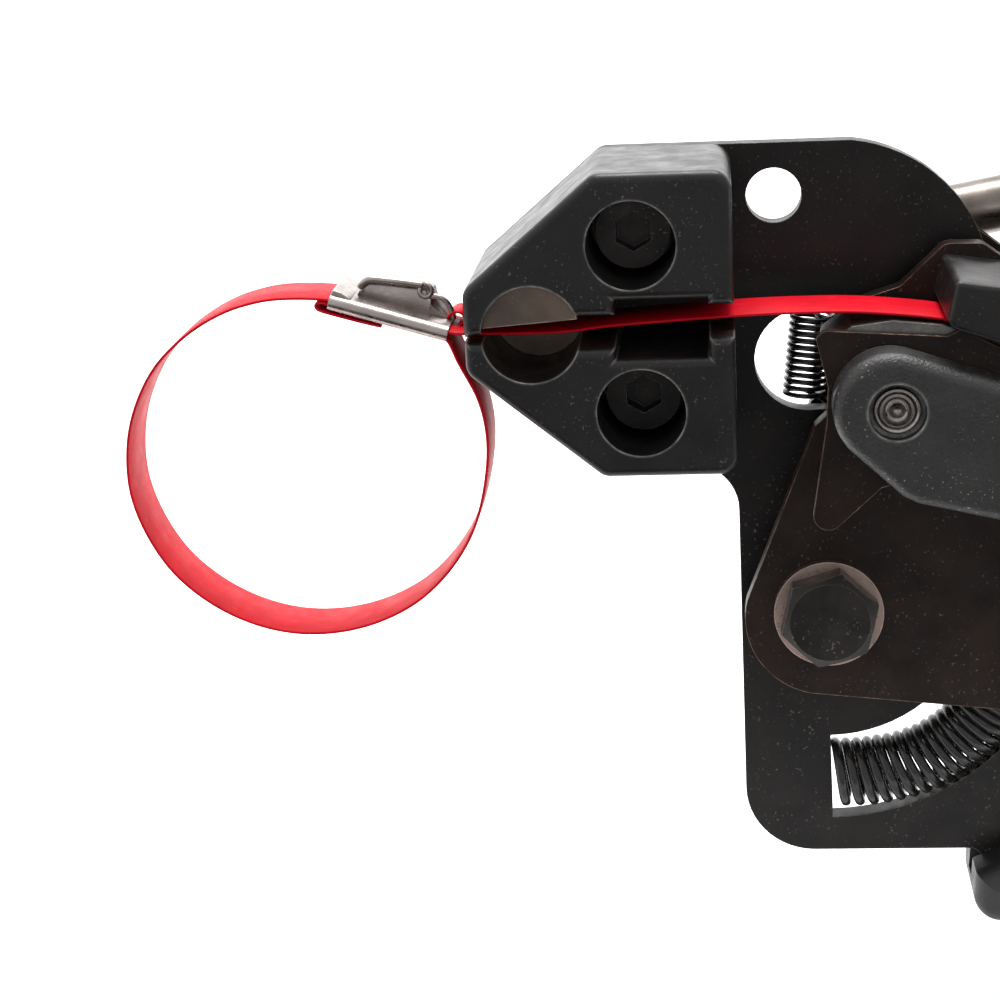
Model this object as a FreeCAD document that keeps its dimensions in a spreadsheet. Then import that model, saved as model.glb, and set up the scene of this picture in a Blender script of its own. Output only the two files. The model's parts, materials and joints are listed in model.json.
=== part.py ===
"""Hand tool that pulls up and cuts off a stainless steel band tie.

X runs right, towards the handles.  Y runs from the tie side to the cutter-lever side.
Z is up.  The origin is the centre of the hang hole, half way through the frame plate.
Every outline lies in the XZ plane and is padded along Y.  Millimetres throughout.
"""
import FreeCAD, Part
import math
import os
import re
import Sketcher

VEC = FreeCAD.Vector

# ---------------------------------------------------------------- driving sizes
SIZES = {
    # frame plate
    "plate_thickness": 4.0,
    "plate_top": 9.6,
    "plate_back": 7.6,            # left edge of the plate below the nose
    "plate_nose_z": -50.0,        # bottom edge of the plate behind the nose
    "plate_nose_round": 9.0,
    "plate_crown_start": 14.0,
    "plate_crown_radius": 28.4,
    "plate_crown_x": 37.6,
    "plate_crown_z": -10.3,
    "plate_shoulder_x": 41.0,
    "plate_shoulder_z": -34.0,
    "plate_rim": 7.0,             # metal left outside the spring cut-out
    "plate_foot": 51.9,           # bolt centre down to the bottom edge
    "plate_foot_round": 13.0,
    "hang_hole_radius": 5.0,
    # pivot
    "bolt_x": 8.3,
    "bolt_radius": 5.0,
    "bolt_head_flats": 16.0,
    "bolt_head_height": 4.6,
    "washer_radius": 10.0,
    "washer_thickness": 2.0,
    "bush_radius": 7.0,
    "running_clearance": 0.05,
    "moving_gap": 0.3,
    # return spring and its cut-out
    "spring_track": 37.5,         # bolt centre to the spring's centre line
    "spring_radius": 6.6,
    "spring_wall": 1.8,
    "spring_inner_gap": 2.6,
    "spring_outer_gap": 1.1,
    "spring_start_angle": 0.8,    # angles from straight down, towards the handles
    "spring_end_angle": 57.0,
    "seat_span_angle": 10.0,
    "release_angle": 6.0,
    "squeeze_angle": 9.0,
    # jaw pin and the slot it travels in
    "pin_drop": 31.8,             # hang hole down to the jaw pin
    "pin_dx": 11.0,               # from the pivot bolt
    "pin_dz": 44.4,
    "pin_radius": 4.0,
    "pin_recess_radius": 4.9,
    "spacer_radius": 8.0,
    "slot_half_width": 9.6,
    "slot_left_angle": 3.5,
    # arm plates
    "arm_thickness": 3.5,
    "arm_side_gap": 4.9,          # frame plate face to arm plate
    "arm_back_radius": 15.0,
    # nose
    "nose_depth": 30.0,
    "nose_left": 53.8,
    "nose_shoulder_z": -9.8,
    "nose_top_left": 30.9,
    "nose_right": 7.6,
    "nose_chin_z": -24.3,
    "nose_bottom_z": -43.4,
    "nose_bottom_left": 30.75,
    "nose_edge_round": 1.45,
    "nose_corner_round": 3.2,
    "slot_mouth_z": -18.4,        # where the tie enters
    "slot_mouth_gap": 0.8,
    "slot_upper_z": -14.8,
    "slot_lower_z": -20.5,
    "slot_upper_notch": 2.6,
    "slot_lower_notch": 2.0,
    "slot_notch_left": 28.0,
    "slot_notch_right": 12.0,
    "nose_screw_radius": 4.0,
    "nose_screw_head": 6.5,
    "nose_screw_head_height": 8.0,
    "nose_counterbore": 7.65,
    "nose_counterbore_depth": 21.0,
    "nose_upper_screw_x": -24.8,
    "nose_upper_screw_z": -2.7,
    "nose_lower_screw_x": -23.9,
    "nose_lower_screw_z": -31.9,
    "nut_flats": 13.0,
    "nut_height": 6.4,
    # cutter
    "cutter_x": -42.4,
    "cutter_z": -17.7,
    "cutter_radius": 8.4,
    "cutter_flat_height": 1.8,
    "cutter_flat_angle": 4.2,
    "cutter_relief_depth": 19.0,
    "cutter_setback": 1.0,
    "hub_radius": 11.2,
    "hub_boss_length": 18.0,
    "hub_boss_half": 6.6,
    "hub_length": 20.6,
    "rod_radius": 5.25,
    "rod_y": 16.4,
    "rod_drop": 3.6,              # cutter axis down to the rod's axis
    "rod_slope": 10.2,
    "rod_length": 186.0,
    "rod_grip_radius": 8.5,
    "rod_grip_length": 78.0,
    "set_screw_radius": 2.5,
    # tie
    "tie_width": 12.7,
    "tie_thickness": 0.5,
    "tie_setback": 6.0,           # nose front face to the near edge of the tie
    "loop_x": -84.2,
    "loop_z": -42.4,
    "loop_radius": 32.3,
    "buckle_length": 21.5,
    "buckle_height": 3.0,
    "buckle_tilt": 17.2,
    # jaws
    "jaw_pad_thickness": 1.6,
    "gripper_width": 15.8,
    "cheek_thickness": 1.5,
    "gripper_bush_radius": 6.0,
    "rivet_radius": 1.75,
    "post_radius": 1.4,
    "jaw_spring_radius": 4.2,
    # upper handle
    "fork_wall": 7.2,
    "fork_outer_y": 36.0,
    "rear_wall": 5.5,
    "handle_slope": 16.0,
    "handle_reach": 112.0,
    "shank_half_height": 9.0,
    "shank_half_width": 7.0,
    "shank_y": -10.0,
    "upper_grip_wall": 4.5,
    "upper_grip_start": 16.0,     # along the handle
    "handle_bolt_radius": 4.0,
    "handle_bolt_flats": 13.0,
    "handle_bolt_head": 5.3,
    # lower handle
    "tang_height": 9.0,
    "tang_slope": 4.5,
    "lower_grip_length": 132.0,
    "grip_half_height": 10.5,
    "grip_half_width": 11.8,
    "grip_round": 5.0,
    "grip_screw_radius": 2.5,
    "grip_screw_head": 4.6,
}

# ------------------------------------------------- values worked out from the sizes
DERIVED = {
    "plate_face": "plate_thickness/2",
    "pin_x": "bolt_x+pin_dx",
    "pin_z": "-pin_drop",
    "bolt_z": "pin_z-pin_dz",
    "pin_track": "sqrt(pin_dx*pin_dx+pin_dz*pin_dz)",
    "pin_angle": "atan(pin_dx/pin_dz)/1deg",
    "slot_outer": "pin_track+slot_half_width",
    "slot_inner": "pin_track-slot_half_width",
    "slot_right_angle":
        "pin_angle+squeeze_angle-(slot_half_width-spacer_radius-moving_gap)/pin_track*57.3",
    "cutout_outer": "spring_track+spring_radius+spring_outer_gap",
    "cutout_inner": "spring_track-spring_radius-spring_inner_gap",
    "cutout_end_angle": "spring_end_angle+seat_span_angle+release_angle+1",
    "plate_outer": "cutout_outer+plate_rim",
    "plate_bottom": "bolt_z-plate_foot",
    "arm_inner": "plate_face+arm_side_gap",
    "arm_outer": "arm_inner+arm_thickness",
    "nose_front": "-plate_face-nose_depth",
    "tie_front": "nose_front+tie_setback",
    "tie_back": "tie_front+tie_width",
    "fork_front": "-fork_outer_y",
    "fork_inner": "fork_front+fork_wall",
    "cheek_front": "fork_inner+moving_gap",
    "cheek_back": "cheek_front+cheek_thickness",
    "rear_wall_inner": "arm_outer+0.2",
    "rear_wall_outer": "rear_wall_inner+rear_wall",
    "gripper_back": "cheek_back+gripper_width",
    "hub_front": "plate_face+0.4",
    "tang_x": "bolt_x+29.6",
    "tang_z": "plate_bottom-1.2",
    "handle_x": "pin_x+44",
    "handle_z": "pin_z-19",
    "fork_bolt_x": "pin_x+32.7",
    "fork_bolt_z": "pin_z-12.5",
}


class Sheet:
    """The spreadsheet of named sizes.  A second document holds the same sheet, so a
    formula's number can be read without touching the features built so far."""

    def __init__(self, document, trial_document):
        self.sheet = self._fill(document)
        self.trial = self._fill(trial_document)
        self.names = re.compile(r"\b(%s)\b" % "|".join([*SIZES, *DERIVED]))

    def _fill(self, document):
        sheet = document.addObject("Spreadsheet::Sheet", "sizes")
        rows = [(name, str(size)) for name, size in SIZES.items()]
        rows += [(name, "=" + formula) for name, formula in DERIVED.items()]
        for row, (name, text) in enumerate(rows, 1):
            sheet.set("A%d" % row, name)
            sheet.set("B%d" % row, text)
            sheet.setAlias("B%d" % row, name)
        document.recompute()
        return sheet

    def number(self, formula):
        self.trial.set("D1", "=1*(%s)" % formula)
        self.trial.recompute()
        return float(self.trial.get("D1"))

    def cells(self, formulas):
        """Turn formulas into (expression, number) pairs."""
        return [(self.names.sub(r"sizes.\1", str(formula)), self.number(formula))
                for formula in formulas]


class Piece:
    """One separate part: a PartDesign body with its own label and placement."""

    def __init__(self, label):
        self.label = label
        self.body = DOC.addObject("PartDesign::Body", label)
        self.body.Label = label
        self.count = 0

    def _sketch(self, role, offset):
        self.count += 1
        name = "%s_sketch_%d" % (self.label, self.count)
        sketch = self.body.newObject("Sketcher::SketchObject", name)
        plane = [f for f in self.body.Origin.OriginFeatures if f.Role == role][0]
        sketch.AttachmentSupport = [(plane, "")]
        sketch.MapMode = "FlatFace"
        for axis, formula in zip("xyz", offset):
            reference = SHEET.cells([formula])[0][0]
            sketch.setExpression("AttachmentOffset.Base." + axis, reference)
        return sketch

    def _fix(self, sketch, kind, *args):
        reference, number = args[-1]
        index = sketch.addConstraint(Sketcher.Constraint(kind, *args[:-1], number))
        sketch.setExpression("Constraints[%d]" % index, reference)

    def _fix_point(self, sketch, geometry, vertex, x_cell, z_cell):
        self._fix(sketch, "DistanceX", -1, 1, geometry, vertex, x_cell)
        self._fix(sketch, "DistanceY", -1, 1, geometry, vertex, z_cell)

    def _circle(self, sketch, x, z, radius):
        cells = SHEET.cells([x, z, radius])
        centre = VEC(cells[0][1], cells[1][1], 0)
        index = sketch.addGeometry(Part.Circle(centre, VEC(0, 0, 1), cells[2][1]), False)
        self._fix_point(sketch, index, 3, cells[0], cells[1])
        self._fix(sketch, "Radius", index, cells[2])

    def _outline(self, sketch, points):
        """Closed outline.  A point is (x, z), or (x, z, radius, bulge) when the edge
        that leaves it is an arc; bulge is +1 when the arc's centre lies to its left."""
        count = len(points)
        cells = [SHEET.cells(point[:2]) for point in points]
        corners = [VEC(c[0][1], c[1][1], 0) for c in cells]
        for i, point in enumerate(points):
            start, end = corners[i], corners[(i + 1) % count]
            if len(point) == 2:
                sketch.addGeometry(Part.LineSegment(start, end), False)
                continue
            radius = SHEET.cells([point[2]])[0]
            bulge = point[3]
            chord = end - start
            rise = math.sqrt(max(radius[1] ** 2 - (chord.Length / 2) ** 2, 0))
            left = VEC(-chord.y, chord.x, 0).normalize()
            centre = start + chord * 0.5 + left * (rise * bulge)
            angles = [math.atan2(p.y - centre.y, p.x - centre.x) for p in (start, end)]
            if bulge < 0:
                angles.reverse()
            circle = Part.Circle(centre, VEC(0, 0, 1), radius[1])
            sketch.addGeometry(Part.ArcOfCircle(circle, angles[0], angles[1]), False)
        def tips(i):
            arc = len(points[i]) > 2 and points[i][3] < 0
            return (2, 1) if arc else (1, 2)
        for i in range(count):
            following = (i + 1) % count
            joint = (i, tips(i)[1], following, tips(following)[0])
            sketch.addConstraint(Sketcher.Constraint("Coincident", *joint))
        for i, point in enumerate(points):
            self._fix_point(sketch, i, tips(i)[0], *cells[i])
            if len(point) > 2:
                self._fix(sketch, "Radius", i, SHEET.cells([point[2]])[0])
        return corners

    def _pad(self, sketch, length):
        pad = self.body.newObject("PartDesign::Pad", sketch.Name + "_pad")
        pad.Profile = sketch
        pad.setExpression("Length", SHEET.cells([length])[0][0])
        DOC.recompute()
        sketch.Visibility = False
        return pad

    def _pocket(self, sketch, depth):
        before = self.body.Shape.Volume
        pocket = self.body.newObject("PartDesign::Pocket", sketch.Name + "_pocket")
        pocket.Profile = sketch
        pocket.setExpression("Length", SHEET.cells([depth])[0][0])
        DOC.recompute()
        if self.body.Shape.Volume > before - 1e-6:
            pocket.Reversed = True
            DOC.recompute()
        if self.body.Shape.Volume > before - 1e-6:
            raise RuntimeError(self.label + ": a pocket removes nothing")
        sketch.Visibility = False
        return pocket

    def plate(self, points, back, front, rounds=None):
        """Pad an outline between two y values; rounds maps corner number to radius."""
        sketch = self._sketch("XZ_Plane", ("0", "0", "-(%s)" % back))
        corners = self._outline(sketch, points)
        self._pad(sketch, "(%s)-(%s)" % (back, front))
        for radius, numbers in (rounds or {}).items():
            self.round_corners(radius, [corners[n] for n in numbers])
        return self

    def disc(self, x, z, radius, back, front):
        sketch = self._sketch("XZ_Plane", ("0", "0", "-(%s)" % back))
        self._circle(sketch, x, z, radius)
        self._pad(sketch, "(%s)-(%s)" % (back, front))
        return self

    def bore(self, x, z, radius, back, front):
        sketch = self._sketch("XZ_Plane", ("0", "0", "-(%s)" % front))
        self._circle(sketch, x, z, radius)
        self._pocket(sketch, "(%s)-(%s)" % (back, front))
        return self

    def cut(self, points, back, front):
        sketch = self._sketch("XZ_Plane", ("0", "0", "-(%s)" % front))
        self._outline(sketch, points)
        self._pocket(sketch, "(%s)-(%s)" % (back, front))
        return self

    def turned(self, x, z, profile, y="0"):
        """Revolve a (radius, y) profile about a line parallel to Y through (x, z)."""
        sketch = self._sketch("XY_Plane", (x, y, z))
        self._outline(sketch, profile)
        DOC.recompute()
        spin = self.body.newObject("PartDesign::Revolution", sketch.Name + "_spin")
        spin.Profile = sketch
        spin.ReferenceAxis = (sketch, ["V_Axis"])
        spin.Angle = 360.0
        DOC.recompute()
        sketch.Visibility = False
        return self

    def spun(self, profile, angle="360"):
        """Revolve a (x, radius) profile about the body's own X axis."""
        sketch = self._sketch("XY_Plane", ("0", "0", "0"))
        self._outline(sketch, profile)
        DOC.recompute()
        spin = self.body.newObject("PartDesign::Revolution", sketch.Name + "_spin")
        spin.Profile = sketch
        spin.ReferenceAxis = (sketch, ["H_Axis"])
        spin.setExpression("Angle", SHEET.cells([angle])[0][0])
        DOC.recompute()
        sketch.Visibility = False
        return self

    def round_edges(self, radius, wanted):
        """Fillet the edges that the test accepts."""
        base = self.body.Tip
        names = ["Edge%d" % i for i, e in enumerate(base.Shape.Edges, 1) if wanted(e)]
        fillet = self.body.newObject("PartDesign::Fillet", "%s_round_%d"
                                     % (self.label, len(self.body.Group)))
        fillet.Base = (base, names)
        fillet.setExpression("Radius", SHEET.cells([radius])[0][0])
        DOC.recompute()
        return self

    def round_corners(self, radius, corners):
        def at_corner(edge):
            ends = [edge.Vertexes[0].Point, edge.Vertexes[-1].Point]
            return ends[0].distanceToPoint(ends[1]) > 0.1 and any(
                all(abs(p.x - c.x) < 1e-4 and abs(p.z - c.y) < 1e-4 for p in ends)
                for c in corners)
        return self.round_edges(radius, at_corner)

    def round_face(self, radius, y, skip_circles=True):
        """Fillet the outline edges of the flat face at one y value."""
        level = SHEET.number(y)

        def on_face(edge):
            flat = all(abs(v.Point.y - level) < 1e-4 for v in edge.Vertexes)
            closed = len(edge.Vertexes) == 1
            return flat and not (closed and skip_circles)
        return self.round_edges(radius, on_face)

    def place(self, x, y, z, axis, angle):
        """Move and turn the whole body."""
        self.body.Placement = FreeCAD.Placement(VEC(0, 0, 0), FreeCAD.Rotation(axis, 0))
        for name, formula in zip("xyz", (x, y, z)):
            self.body.setExpression("Placement.Base." + name,
                                    SHEET.cells([formula])[0][0])
        self.body.Placement.Rotation = FreeCAD.Rotation(axis, 1)
        self.body.setExpression("Placement.Rotation.Angle", SHEET.cells([angle])[0][0])
        DOC.recompute()
        return self


def polar(x, z, radius, angle):
    """Point at an angle from straight up, towards the handles."""
    return ("%s+(%s)*sin(%s)" % (x, radius, angle), "%s+(%s)*cos(%s)" % (z, radius, angle))


def below(x, z, radius, angle):
    """Point at an angle from straight down, towards the handles."""
    return ("%s+(%s)*sin(%s)" % (x, radius, angle), "%s-(%s)*cos(%s)" % (z, radius, angle))


def from_bolt(dx, dz):
    return ("bolt_x+(%s)" % dx, "bolt_z+(%s)" % dz)


def from_pin(dx, dz):
    return ("pin_x+(%s)" % dx, "pin_z+(%s)" % dz)


def hexagon(x, z, flats, first=0):
    """Corners of a hexagon, the first at that many degrees from straight up."""
    corner = "(%s)/1.7320508" % flats
    return [polar(x, z, corner, "%d" % (first - 60 * turn)) for turn in range(6)]


DOC = FreeCAD.newDocument("band_tie_tool")
SHEET = Sheet(DOC, FreeCAD.newDocument("trial"))
PIECES = []


def piece(label):
    PIECES.append(Piece(label))
    return PIECES[-1]


# ---------------------------------------------------------------- frame body
def along_tang(distance, offset):
    """Point on the lower handle's axis, then square to it."""
    return ("tang_x+(%s)*cos(tang_slope)+(%s)*sin(tang_slope)" % (distance, offset),
            "tang_z-(%s)*sin(tang_slope)+(%s)*cos(tang_slope)" % (distance, offset))


def tang_outline(margin, start, end):
    half = "(tang_height/2+%s)" % margin
    return [along_tang(start, "-" + half), along_tang(end, "-" + half),
            along_tang(end, half), along_tang(start, half)]


def build_frame_plate():
    outline = [
        ("-nose_left", "nose_shoulder_z"),
        ("-nose_left", "nose_chin_z"),
        ("-nose_bottom_left", "plate_nose_z"),
        ("-plate_back", "plate_nose_z"),
        ("-plate_back", "plate_bottom"),
        ("tang_x-2", "plate_bottom"),
        along_tang("4", "-tang_height/2"),
        along_tang("lower_grip_length-8", "-tang_height/2"),
        along_tang("lower_grip_length-8", "tang_height/2"),
        along_tang("14", "tang_height/2"),
        below("bolt_x", "bolt_z", "plate_outer", "46") + ("plate_outer", 1),
        below("bolt_x", "bolt_z", "plate_outer", "cutout_end_angle+9"),
        ("plate_shoulder_x", "plate_shoulder_z"),
        ("plate_crown_x", "plate_crown_z", "plate_crown_radius", 1),
        ("plate_crown_start", "plate_top"),
        ("-nose_top_left", "plate_top"),
    ]
    plate = piece("frame_plate")
    plate.plate(outline, "plate_face", "-plate_face",
                {"nose_corner_round": [0, 1, 2, 15], "plate_foot_round": [4],
                 "plate_nose_round": [3], "plate_rim": [9, 11], "tang_height/4": [5, 7, 8]})
    through = ("plate_face", "-plate_face")
    plate.bore("0", "0", "hang_hole_radius", *through)
    plate.bore("bolt_x", "bolt_z", "bush_radius+running_clearance", *through)
    plate.bore("cutter_x", "cutter_z", "cutter_radius+running_clearance", *through)
    for end in ("upper", "lower"):
        plate.bore("nose_%s_screw_x" % end, "nose_%s_screw_z" % end,
                   "nose_screw_radius+0.2", *through)
    for distance in GRIP_SCREWS:
        plate.bore(*along_tang(distance, "0"), "grip_screw_radius+0.2", *through)
    for angle in ("-slot_left_angle", "slot_right_angle"):
        plate.bore(*polar("bolt_x", "bolt_z", "pin_track", angle), "slot_half_width",
                   *through)
    plate.cut([
        polar("bolt_x", "bolt_z", "slot_inner", "-slot_left_angle")
        + ("slot_inner", -1),
        polar("bolt_x", "bolt_z", "slot_inner", "slot_right_angle"),
        polar("bolt_x", "bolt_z", "slot_outer", "slot_right_angle")
        + ("slot_outer", 1),
        polar("bolt_x", "bolt_z", "slot_outer", "-slot_left_angle"),
    ], *through)
    plate.cut([
        below("bolt_x", "bolt_z", "cutout_inner", "spring_start_angle")
        + ("cutout_inner", 1),
        below("bolt_x", "bolt_z", "cutout_inner", "cutout_end_angle"),
        below("bolt_x", "bolt_z", "cutout_outer", "cutout_end_angle")
        + ("cutout_outer", -1),
        below("bolt_x", "bolt_z", "cutout_outer", "spring_start_angle"),
    ], *through)


GRIP_SCREWS = ("24", "lower_grip_length-24")
JAW_UNDERSIDE = [from_pin("9.3", "13.6"), from_pin("17.1", "10.9"), from_pin("31", "6.4")]


def build_nose():
    mouth = "slot_mouth_gap/2"
    upper = [
        ("-nose_left", "nose_shoulder_z"),
        ("-nose_left", "slot_mouth_z+" + mouth),
        ("-slot_notch_left-6", "slot_upper_z"),
        ("-slot_notch_left", "slot_upper_z"),
        ("-slot_notch_left", "slot_upper_z+slot_upper_notch"),
        ("-slot_notch_right", "slot_upper_z+slot_upper_notch"),
        ("-slot_notch_right", "slot_upper_z+1.5"),
        ("-nose_right", "slot_upper_z+1.5"),
        ("-nose_right", "plate_top"),
        ("-nose_top_left", "plate_top"),
    ]
    lower = [
        ("-nose_left", "slot_mouth_z-" + mouth),
        ("-nose_left", "nose_chin_z"),
        ("-nose_bottom_left", "nose_bottom_z"),
        ("-nose_right", "nose_bottom_z"),
        ("-nose_right", "slot_lower_z+1.5"),
        ("-slot_notch_right", "slot_lower_z+1.5"),
        ("-slot_notch_right", "slot_lower_z-slot_lower_notch"),
        ("-slot_notch_left", "slot_lower_z-slot_lower_notch"),
        ("-slot_notch_left", "slot_lower_z"),
        ("-slot_notch_left-6", "slot_lower_z"),
    ]
    rear, front = "-plate_face", "nose_front"
    for end, outline, corners in (("upper", upper, [0, 8, 9]), ("lower", lower, [1, 2, 3])):
        x, z = "nose_%s_screw_x" % end, "nose_%s_screw_z" % end
        block = piece("nose_block_" + end)
        block.plate(outline, rear, front, {"nose_corner_round": corners})
        block.round_face("nose_edge_round", front)
        block.bore(x, z, "nose_screw_radius+0.2", rear, front)
        block.bore(x, z, "nose_counterbore", front + "+nose_counterbore_depth", front)
        block.bore("cutter_x", "cutter_z", "cutter_radius+running_clearance", rear, front)

        seat = "(nose_front+nose_counterbore_depth)"
        screw = piece("nose_screw_" + end)
        screw.turned(x, z, [
            ("0", seat + "-nose_screw_head_height"),
            ("nose_screw_head", seat + "-nose_screw_head_height"),
            ("nose_screw_head", seat),
            ("nose_screw_radius", seat),
            ("nose_screw_radius", "plate_face+nut_height+1"),
            ("0", "plate_face+nut_height+1")])
        screw.cut(hexagon(x, z, "nose_screw_radius*1.5"), seat + "-4",
                  seat + "-nose_screw_head_height")
        nut = piece("nose_nut_" + end)
        nut.plate(hexagon(x, z, "nut_flats"), "plate_face+nut_height", "plate_face")
        nut.bore(x, z, "nose_screw_radius+0.02", "plate_face+nut_height", "plate_face")


def build_lower_grip():
    half = "grip_half_height"
    outline = [along_tang("-2.4", "-(%s)" % half),
               along_tang("lower_grip_length", "-(%s)" % half),
               along_tang("lower_grip_length", half),
               along_tang("18", half), along_tang("-2.4", "-1")]
    for side, front, back, recess in (("front", "-grip_half_width", "-0.02", "-plate_face"),
                                      ("rear", "0.02", "grip_half_width", "plate_face")):
        grip = piece("lower_grip_" + side)
        grip.plate(outline, back, front, {"grip_round": [0, 1, 2], "grip_round*0.6": [3]})
        face = front if side == "front" else back
        grip.round_face("grip_round*0.9", face)
        inner = (back, recess + "-0.05") if side == "front" else (recess + "+0.05", front)
        grip.cut(tang_outline("0.3", "-12", "lower_grip_length-7.6"), *inner)
        grip.cut(GRIP_SHOULDER, *inner)
        for distance in GRIP_SCREWS:
            grip.bore(*along_tang(distance, "0"), "grip_screw_radius+0.2", back, front)
        head = (("-grip_half_width+3", "-grip_half_width") if side == "front"
                else ("grip_half_width", "grip_half_width-3"))
        for distance in GRIP_SCREWS:
            grip.bore(*along_tang(distance, "0"), "grip_screw_head+0.2", *head)
    for name, distance in zip(("inner", "outer"), GRIP_SCREWS):
        x, z = along_tang(distance, "0")
        screw = piece("grip_screw_" + name)
        screw.turned(x, z, [
            ("0", "-grip_half_width+0.6"), ("grip_screw_head", "-grip_half_width+0.6"),
            ("grip_screw_head", "-grip_half_width+3"),
            ("grip_screw_radius", "-grip_half_width+3"),
            ("grip_screw_radius", "grip_half_width-3"),
            ("grip_screw_head", "grip_half_width-3"),
            ("grip_screw_head", "grip_half_width-0.6"), ("0", "grip_half_width-0.6")])


# Room in each grip half for the foot of the frame plate.
GRIP_SHOULDER = [along_tang("-16", "-tang_height/2+1"), along_tang("21", "-tang_height/2+1"),
                 along_tang("21", "grip_half_height+9"),
                 along_tang("-16", "grip_half_height+9")]


def build_return_spring():
    spring = piece("return_spring")
    sketch = spring._sketch("XY_Plane", ("0", "0", "0"))
    spring._circle(sketch, "spring_track", "0", "spring_radius")
    spring._circle(sketch, "spring_track", "0", "spring_radius-spring_wall")
    DOC.recompute()
    spin = spring.body.newObject("PartDesign::Revolution", "return_spring_spin")
    spin.Profile = sketch
    spin.ReferenceAxis = (sketch, ["V_Axis"])
    spin.Reversed = True
    spin.setExpression("Angle", SHEET.cells(
        ["spring_end_angle-spring_start_angle-1"])[0][0])
    DOC.recompute()
    spring.place("bolt_x", "0", "bolt_z", VEC(0, 1, 0), "90-spring_start_angle-0.5")


def build_tie():
    front, back = "tie_front", "tie_back"
    thick = "tie_thickness"
    under = JAW_UNDERSIDE
    run = [("-nose_left-4", "slot_mouth_z"), ("-nose_left", "slot_mouth_z+tie_thickness/2"),
           ("cutter_x", "slot_mouth_z-0.1"), ("-nose_right", "slot_mouth_z+1.6"),
           ("pin_x-8", "slot_mouth_z+1.8"), ("pin_x+7", "slot_mouth_z+0.6"),
           (under[0][0], under[0][1] + "-0.25"), (under[1][0], under[1][1] + "-0.25"),
           ("pin_x+26", "pin_z+7.6")]
    low = [(x, z + "-" + thick) for x, z in reversed(run)]
    piece("tie_band").plate(run + low, back, front)
    loop = piece("tie_loop")
    loop.disc("loop_x", "loop_z", "loop_radius", back, front)
    loop.bore("loop_x", "loop_z", "loop_radius-tie_thickness", back, front)
    left, right = "loop_x+5.2", "loop_x+loop_radius"
    loop.cut([(left, "slot_mouth_z-3.6"), (right, "slot_mouth_z-3.6"),
              (right, "loop_z+loop_radius+1"), (left, "loop_z+loop_radius+1")], back, front)
    buckle = piece("tie_buckle")
    box = [("-buckle_length/2", "0"), ("buckle_length/2", "0"),
           ("buckle_length/2", "buckle_height"), ("-buckle_length/2", "buckle_height")]
    buckle.plate(box, "tie_width/2+1.2", "-tie_width/2-1.2")
    slot = [("-buckle_length/2", "0.6"), ("buckle_length/2", "0.6"),
            ("buckle_length/2", "buckle_height-0.6"),
            ("-buckle_length/2", "buckle_height-0.6")]
    buckle.cut(slot, "tie_width/2+0.4", "-tie_width/2-0.4")
    place = ("-nose_left-14.2", "(tie_front+tie_back)/2", "slot_mouth_z+1.6",
             VEC(0, 1, 0), "buckle_tilt")
    buckle.place(*place)
    tongue = piece("tie_tongue")
    tongue.plate([("-buckle_length*0.24", "buckle_height"),
                  ("buckle_length*0.42", "buckle_height"),
                  ("buckle_length*0.36", "buckle_height+3.6"),
                  ("-buckle_length*0.16", "buckle_height+3.2")],
                 "tie_width/2-1", "-tie_width/2+1")
    tongue.place(*place)


# ------------------------------------------------------------------ arm body
SEAT_RIVET = below("bolt_x", "bolt_z", "spring_track+1.5",
                   "spring_end_angle+seat_span_angle*0.65")
JAW_SCREWS = (from_pin("14.8", "16.6"), from_pin("23.5", "13.6"))


def build_arm_plates():
    ear = "spring_track+spring_radius+2.5"
    outline = [
        from_pin("2.5", "16.2"),
        from_pin("-4.9", "13.9"),
        from_pin("-8", "-4.6"),
        from_pin("-12.9", "-9.2"),
        below("bolt_x", "bolt_z", "arm_back_radius", "-98") + ("arm_back_radius", 1),
        below("bolt_x", "bolt_z", "arm_back_radius+1.6", "-12"),
        below("bolt_x", "bolt_z", "spring_track-1", "spring_end_angle"),
        below("bolt_x", "bolt_z", ear, "spring_end_angle+2"),
        below("bolt_x", "bolt_z", ear, "spring_end_angle+seat_span_angle"),
        ("fork_bolt_x+8", "fork_bolt_z-14"),
        ("fork_bolt_x+8", "fork_bolt_z+8"),
        from_pin("29", "14.6"),
        from_pin("17", "23.6"),
        from_pin("10.4", "23.7"),
    ]
    for side, back, front in (("front", "-arm_inner", "-arm_outer"),
                              ("rear", "arm_outer", "arm_inner")):
        plate = piece("arm_plate_" + side)
        plate.plate(outline, back, front,
                    {"2.5": [0, 1, 11, 12, 13], "5": [9, 10], "4": [7, 8]})
        if side == "rear":
            plate.bore(*ARM_POST, "post_radius+0.05", back, front)
        plate.bore("bolt_x", "bolt_z", "bolt_radius+0.05", back, front)
        plate.bore("pin_x", "pin_z", "pin_radius+0.05", back, front)
        plate.bore("fork_bolt_x", "fork_bolt_z", "handle_bolt_radius+0.1", back, front)
        plate.bore(*SEAT_RIVET, "rivet_radius+0.05", back, front)
        if side == "front":
            for x, z in JAW_SCREWS:
                plate.bore(x, z, "rivet_radius+0.75", back, front)
                plate.bore(x, z, "rivet_radius+2.3", back, back + "-1.8")


ARM_POST = from_pin("-9.4", "-9.4")
EAR_POST = from_pin("-9.1", "6.2")


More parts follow.
